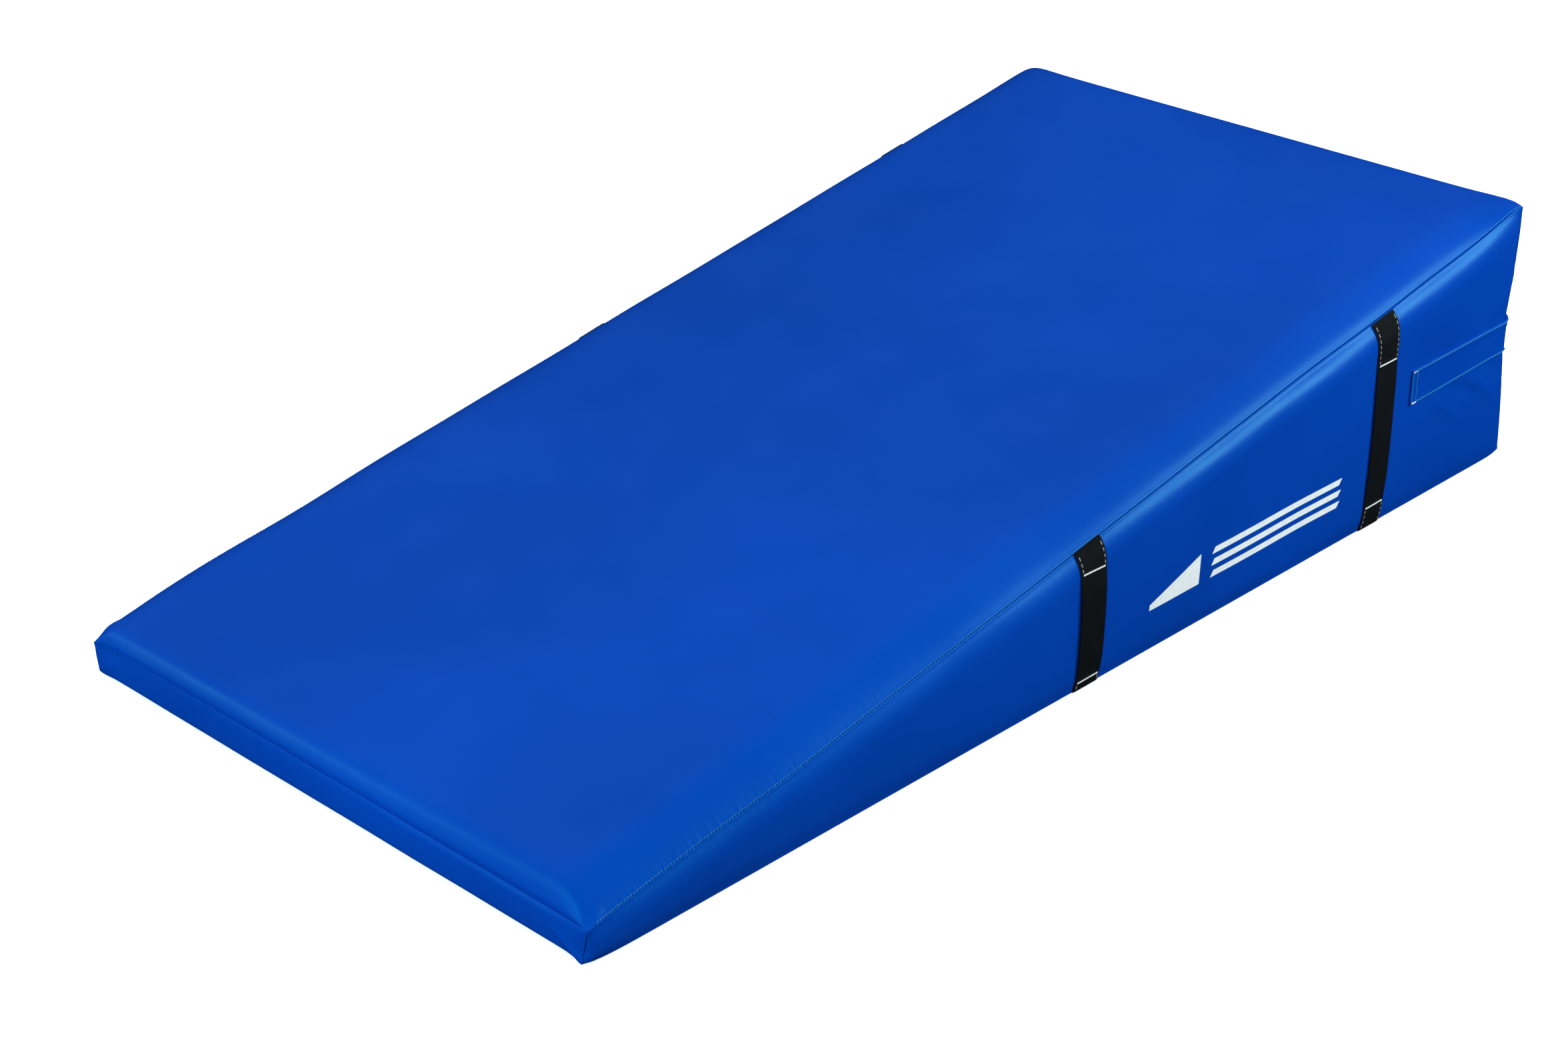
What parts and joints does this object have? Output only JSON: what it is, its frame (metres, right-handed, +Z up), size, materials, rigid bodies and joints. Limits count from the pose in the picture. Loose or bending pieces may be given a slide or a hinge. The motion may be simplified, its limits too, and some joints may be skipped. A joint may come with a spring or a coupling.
{
  "type": "incline wedge mat",
  "caption": "Foam gymnastics wedge in a blue sewn vinyl cover, with webbing carry handles on its long sides and a zip under a flap across its high end.",
  "frame": {"origin": "on the floor, under the middle of the mat", "axes": "+X to the mat's right side, the one with the end of the zip's flap; +Y from the low front edge to the high rear face; +Z up"},
  "size_m": [0.922, 1.8342, 0.4],
  "materials": {
    "cover_vinyl": "satin",
    "webbing": "matte",
    "thread": "matte",
    "print": "satin",
    "foam": "matte",
    "zip_tape": "matte",
    "zip_coil": "satin",
    "zip_metal": "satin"
  },
  "bodies": {
    "mat": {"foam_core": "foam", "cover_top_panel": "cover_vinyl", "cover_bottom_panel": "cover_vinyl", "cover_front_band": "cover_vinyl", "cover_side_panel_right": "cover_vinyl", "cover_side_panel_left": "cover_vinyl", "cover_rear_panel_upper": "cover_vinyl", "cover_rear_panel_lower": "cover_vinyl", "zip_tape_upper": "zip_tape", "zip_tape_lower": "zip_tape", "zip_coil_upper": "zip_coil", "zip_coil_lower": "zip_coil", "zip_end_stops": "zip_metal", "flap_hem": "cover_vinyl", "flap_side_return": "cover_vinyl", "handle_stitching": "thread", "side_decal": "print", "handle_right_front_upper_tab": "webbing", "handle_right_front_lower_tab": "webbing", "handle_right_rear_upper_tab": "webbing", "handle_right_rear_lower_tab": "webbing", "handle_left_front_upper_tab": "webbing", "handle_left_front_lower_tab": "webbing", "handle_left_rear_upper_tab": "webbing", "handle_left_rear_lower_tab": "webbing"},
    "slider": {"zip_slider": "zip_metal", "zip_pull_rivet": "zip_metal"},
    "pull": {"zip_pull": "zip_metal"},
    "flap": {"flap": "cover_vinyl"},
    "grip_right_front": {"handle_right_front_grip": "webbing"},
    "grip_right_rear": {"handle_right_rear_grip": "webbing"},
    "grip_left_front": {"handle_left_front_grip": "webbing"},
    "grip_left_rear": {"handle_left_rear_grip": "webbing"}
  },
  "joints": [
    {"name": "zip_slide", "type": "slide", "parent": "mat", "child": "slider", "axis": [1, 0, 0], "range_m": [0, 0.85]},
    {"name": "zip_pull_swing", "type": "hinge", "parent": "slider", "child": "pull", "pos_m": [-0.425, 0.9163, 0.204], "axis": [0, 1, 0], "range_deg": [-75, 75]},
    {"name": "flap_lift", "type": "hinge", "parent": "mat", "child": "flap", "pos_m": [0, 0.919, 0.2121], "axis": [1, 0, 0], "range_deg": [0, 110]},
    {"name": "grip_right_front_pull", "type": "slide", "parent": "mat", "child": "grip_right_front", "axis": [1, 0, 0], "range_m": [0, 0.025]},
    {"name": "grip_right_rear_pull", "type": "slide", "parent": "mat", "child": "grip_right_rear", "axis": [1, 0, 0], "range_m": [0, 0.025]},
    {"name": "grip_left_front_pull", "type": "slide", "parent": "mat", "child": "grip_left_front", "axis": [-1, 0, 0], "range_m": [0, 0.025]},
    {"name": "grip_left_rear_pull", "type": "slide", "parent": "mat", "child": "grip_left_rear", "axis": [-1, 0, 0], "range_m": [0, 0.025]}
  ]
}
